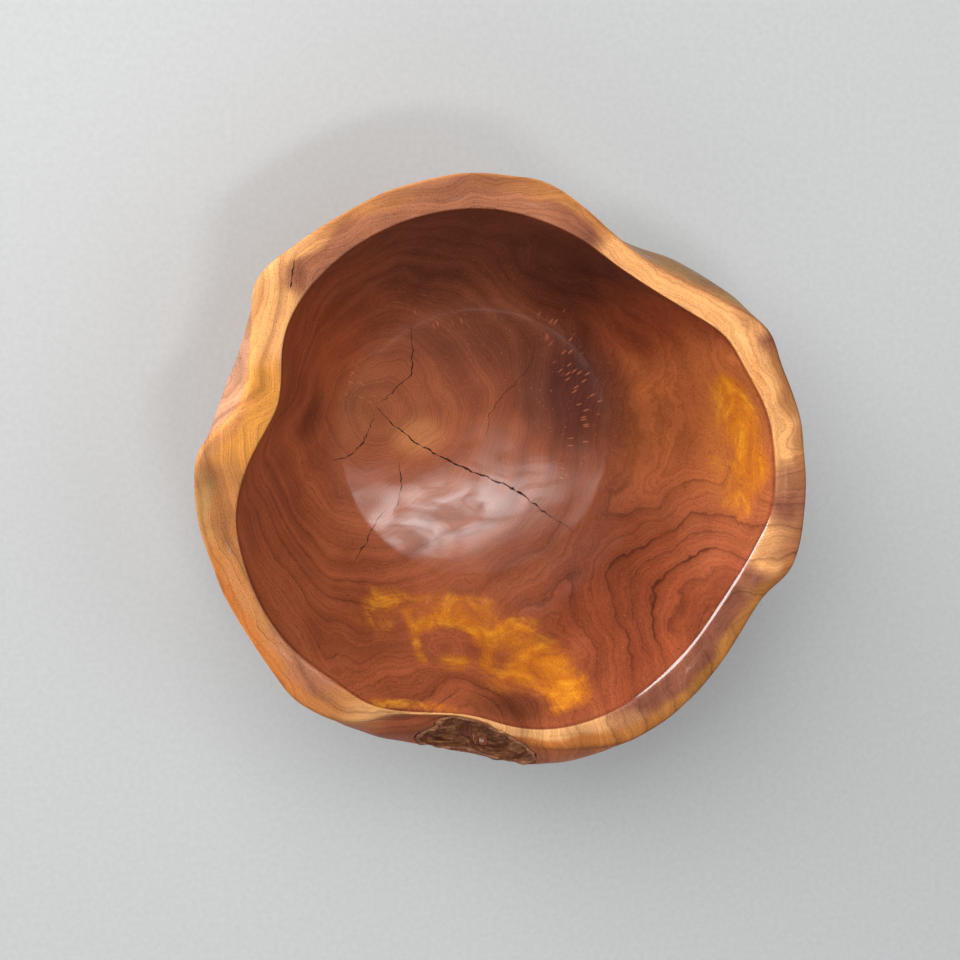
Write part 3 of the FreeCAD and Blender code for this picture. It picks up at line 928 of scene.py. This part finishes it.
def teak_material():
    """Figured teak: ground tone, growth lines, gold wood, pores, tool marks and the finish."""
    graph = Graph("oiled_teak")
    ground = graph.attribute("ground", colour=True)
    growth = graph.attribute("ring")
    gold = graph.attribute("gold")
    lines = graph.attribute("lines")
    outside = graph.attribute("outside")

    wander = graph.noise(60.0, 2.5, 0.5)
    wobble = graph.noise(190.0, 1.0, 0.5)
    growth = graph.sway(growth, wander, 6.0)
    growth = graph.sway(growth, wobble, 1.8)

    fading = graph.span(graph.noise(28.0, 2.0, 0.5), 0.36, 0.60, 0.45, 1.0)
    strong = graph.math("MULTIPLY", ring_lines(graph, growth, 6.6, 0.3), fading)
    strong = graph.math("MULTIPLY", strong, lines)
    fine = graph.math("MULTIPLY", ring_lines(graph, growth, 3.3, 5.7), fading)
    fine = graph.math("MULTIPLY", fine, graph.math("MULTIPLY_ADD", lines, 0.22, 0.05))
    broad = graph.bands(growth, 0.085)
    narrow = graph.bands(growth, 1.1)

    # slow changes of colour from place to place and from ring to ring
    patches = graph.noise(20.0, 4.0, 0.6)
    light = graph.mix(1.0, ground, (1.20, 1.20, 1.18), "MULTIPLY")
    dark = graph.mix(1.0, ground, (0.76, 0.73, 0.74), "MULTIPLY")
    slow = graph.blend(patches, 0.55, broad, 0.45)
    base = graph.mix(graph.span(slow, 0.36, 0.64), light, dark)
    deep = graph.mix(1.0, base, (0.72, 0.68, 0.68), "MULTIPLY")
    base = graph.mix(graph.span(narrow, 0.44, 0.68, 0.0, 0.62), base, deep)

    # gold wood, streaked along the rings
    figure = graph.noise(44.0, 6.0, 0.70, distortion=1.0)
    edge = graph.sway(gold, figure, 1.1)
    edge = graph.sway(edge, narrow, 0.6)
    gold_share = graph.math("MULTIPLY", graph.span(edge, 0.12, 0.98), 0.92)
    depth = graph.blend(broad, 0.45, figure, 0.55)
    gold_tone = graph.ramp(depth, ((0.36, tone(170, 92, 32)), (0.50, tone(200, 118, 30)),
                                   (0.64, tone(230, 156, 42))))
    base = graph.mix(gold_share, base, gold_tone)

    dark_line = tone(62, 28, 18)
    hidden = graph.math("SUBTRACT", 1.0, graph.math("MULTIPLY", gold_share, 0.6))
    base = graph.mix(graph.math("MULTIPLY", fine, hidden), base, dark_line)
    base = graph.mix(graph.math("MULTIPLY", strong, hidden), base, dark_line)

    # pores: short dark flecks that run up the trunk, and pale specks
    pores = graph.noise(1.0, 2.0, 0.5, graph.stretched((1500.0, 1500.0, 230.0)))
    pore_share = graph.span(pores, 0.55, 0.70, 0.0, 0.55)
    base = graph.mix(pore_share, base, graph.mix(1.0, base, tone(150, 120, 110), "MULTIPLY"))
    speck = graph.noise(800.0, 2.0, 0.5)
    base = graph.mix(graph.span(speck, 0.66, 0.78, 0.0, 0.35), base, tone(214, 140, 90))
    marks = gouge_marks(graph)
    base = graph.mix(graph.math("MULTIPLY", marks, 0.55), base, tone(190, 108, 78))
    graph.give("Base Color", base)

    shine = graph.noise(45.0, 3.0, 0.6)
    rough = graph.math("ADD", graph.span(shine, 0.3, 0.7, 0.40, 0.52),
                       graph.math("MULTIPLY", outside, 0.06))
    graph.give("Roughness", rough)
    graph.give("Specular IOR Level", 0.05)
    smears = graph.noise(1.0, 3.0, 0.55, graph.stretched((26.0, 56.0, 40.0)), distortion=0.9)
    wiped = graph.span(smears, 0.36, 0.58, 0.30, 1.0)
    coat = graph.math("MULTIPLY", graph.attribute("coat"), wiped, clamp=True)
    graph.give("Coat Weight", coat)
    graph.give("Coat Roughness", 0.13)

    relief = graph.math("SUBTRACT", graph.math("MULTIPLY", narrow, 0.3), strong)
    relief = graph.math("SUBTRACT", relief, graph.math("MULTIPLY", pore_share, 0.8))
    relief = graph.math("SUBTRACT", relief, graph.math("MULTIPLY", marks, 3.0))
    normal = graph.bump(relief, 0.00012, 0.5)
    soft = graph.noise(38.0, 2.0, 0.5)
    normal = graph.bump(soft, 0.00018, 0.3, normal)
    graph.give("Normal", normal)
    return graph.material


def filler_material():
    """Dark, slightly gritty filler."""
    graph = Graph("dark_filler")
    grit = graph.noise(900.0, 3.0, 0.6)
    graph.give("Base Color", graph.ramp(grit, ((0.3, tone(34, 18, 14)), (0.7, tone(66, 34, 25)))))
    graph.give("Roughness", graph.span(grit, 0.3, 0.7, 0.55, 0.8))
    graph.give("Specular IOR Level", 0.15)
    graph.give("Normal", graph.bump(grit, 0.0003, 0.8))
    return graph.material


def bark_material():
    """Rough bark, streaked along its fibres."""
    graph = Graph("ingrown_bark")
    fibres = graph.noise(1.0, 5.0, 0.65, graph.stretched((110.0, 520.0, 420.0)), distortion=1.6)
    lumps = graph.noise(130.0, 4.0, 0.6)
    share = graph.blend(fibres, 0.55, lumps, 0.45)
    graph.give("Base Color", graph.ramp(share, (
        (0.34, tone(62, 32, 20)), (0.46, tone(116, 68, 42)),
        (0.56, tone(156, 100, 62)), (0.66, tone(196, 142, 94)))))
    graph.give("Roughness", graph.span(share, 0.35, 0.65, 0.9, 0.5))
    graph.give("Normal", graph.bump(share, 0.0014))
    return graph.material


def backdrop_material():
    """Pale matt paper."""
    graph = Graph("pale_floor")
    grain = graph.noise(300.0, 2.0, 0.5)
    graph.give("Base Color", graph.ramp(grain, (
        (0.2, tone(172, 174, 175)), (0.8, tone(180, 182, 183)))))
    graph.give("Roughness", 0.9)
    return graph.material


# ---- camera and light
CAMERA_SIDE = Vector((-0.163, 0.151, 0.975)).normalized()
CAMERA_DISTANCE = 1.15
CAMERA_AIM = Vector((-0.0129, -0.0067, 0.0))     # from the middle of the mouth
LENS = 51.4
SENSOR = 24.0
STAGE_RADIUS = 1.75
STAGE_SIDES = 128

# Soft lights: name, place, aim, size, power and colour
WHITE = (1.0, 1.0, 1.0)
SOFTBOXES = (
    ("ceiling", (-0.95, 1.55, 2.0), (0, 0, 0.06), (2.8, 2.2), 78.0, (1.0, 0.99, 0.97)),
    ("strip", (-1.50, 0.98, 0.42), (0, 0, 0.12), (1.7, 0.40), 34.0, WHITE),
    ("right", (1.7, 0.2, 1.7), (0, 0, 0.06), (2.2, 1.8), 19.0, WHITE),
    ("front", (-0.3, -1.8, 1.6), (0, 0, 0.06), (2.2, 1.4), 16.0, WHITE),
    ("window", (0.19, -0.405, 1.87), (0, 0, 0.02), (0.46, 0.16), 7.5, WHITE),
)


def place_camera(mouth):
    """Looks down into the mouth, a little from the left and from the back."""
    camera = bpy.data.objects.new("camera", bpy.data.cameras.new("camera"))
    bpy.context.scene.collection.objects.link(camera)
    camera.location = mouth + CAMERA_SIDE * CAMERA_DISTANCE
    target = mouth + CAMERA_AIM
    back = (camera.location - target).normalized()
    north = Vector((0, 1, 0))
    up = (north - north.dot(back) * back).normalized()
    right = up.cross(back)
    camera.rotation_euler = Matrix((right, up, back)).transposed().to_euler()
    camera.data.lens = LENS
    camera.data.sensor_width = SENSOR
    camera.data.sensor_height = SENSOR
    camera.data.clip_start = 0.05
    bpy.context.scene.camera = camera


def softbox(name, place, aim, size, power, colour):
    """An area light that faces a point."""
    light = bpy.data.lights.new(name, "AREA")
    light.shape = "RECTANGLE"
    light.size, light.size_y = size
    light.energy = power
    light.color = colour
    box = bpy.data.objects.new(name, light)
    box.location = place
    box.rotation_euler = (Vector(place) - Vector(aim)).to_track_quat("Z", "Y").to_euler()
    bpy.context.scene.collection.objects.link(box)


def studio_world():
    """Dim light from all round, with a pale backdrop beyond the edge of the floor."""
    world = bpy.data.worlds.new("studio")
    world.use_nodes = True
    tree = world.node_tree
    fill = tree.nodes["Background"]
    fill.inputs["Color"].default_value = (0.80, 0.83, 0.86, 1.0)
    fill.inputs["Strength"].default_value = 0.12
    backdrop = tree.nodes.new("ShaderNodeBackground")
    backdrop.inputs["Color"].default_value = (*tone(205, 206, 207), 1.0)
    seen = tree.nodes.new("ShaderNodeLightPath")
    mixed = tree.nodes.new("ShaderNodeMixShader")
    tree.links.new(seen.outputs["Is Camera Ray"], mixed.inputs[0])
    tree.links.new(fill.outputs[0], mixed.inputs[1])
    tree.links.new(backdrop.outputs[0], mixed.inputs[2])
    tree.links.new(mixed.outputs[0], tree.nodes["World Output"].inputs["Surface"])
    return world


def build_backdrop():
    """A round pale floor."""
    turn = np.linspace(0.0, 2.0 * np.pi, STAGE_SIDES, endpoint=False)
    edge = STAGE_RADIUS * np.stack([np.cos(turn), np.sin(turn), 0.0 * turn], -1)
    floor = new_piece("floor", edge, [tuple(range(len(turn)))])
    floor.data.materials.append(backdrop_material())


# ---- the scene
def main():
    teak, filler, rough_bark = teak_material(), filler_material(), bark_material()

    body, shift = build_body()
    body.data.materials.append(teak)
    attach(body, "root")
    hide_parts("bowl_body")

    surface = BVHTree.FromObject(body, bpy.context.evaluated_depsgraph_get())
    for number, (name, (width, paths)) in enumerate(CHECKS.items()):
        seed = CHECK_SEED + CHECK_SEED_STEP * number
        check = build_check(name, width, paths, surface, shift, seed)
        check.data.materials.append(filler)
        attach(check, "root")
        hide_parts(name)
    pocket = build_check("rim_pocket_fill", RIM_POCKET_WIDTH, (RIM_POCKET,), surface, shift,
                         RIM_POCKET_SEED)
    pocket.data.materials.append(filler)
    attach(pocket, "root")
    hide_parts("rim_pocket_fill")

    bark = build_bark()
    bark.data.materials.clear()
    bark.data.materials.append(rough_bark)
    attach(bark, "root")
    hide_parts("bark_lining")

    build_backdrop()
    for settings in SOFTBOXES:
        softbox(*settings)
    bpy.context.scene.world = studio_world()
    place_camera(Vector((shift[0], shift[1], RIM_HEIGHT)) * MM)
    bpy.context.scene.view_settings.view_transform = "Standard"


main()
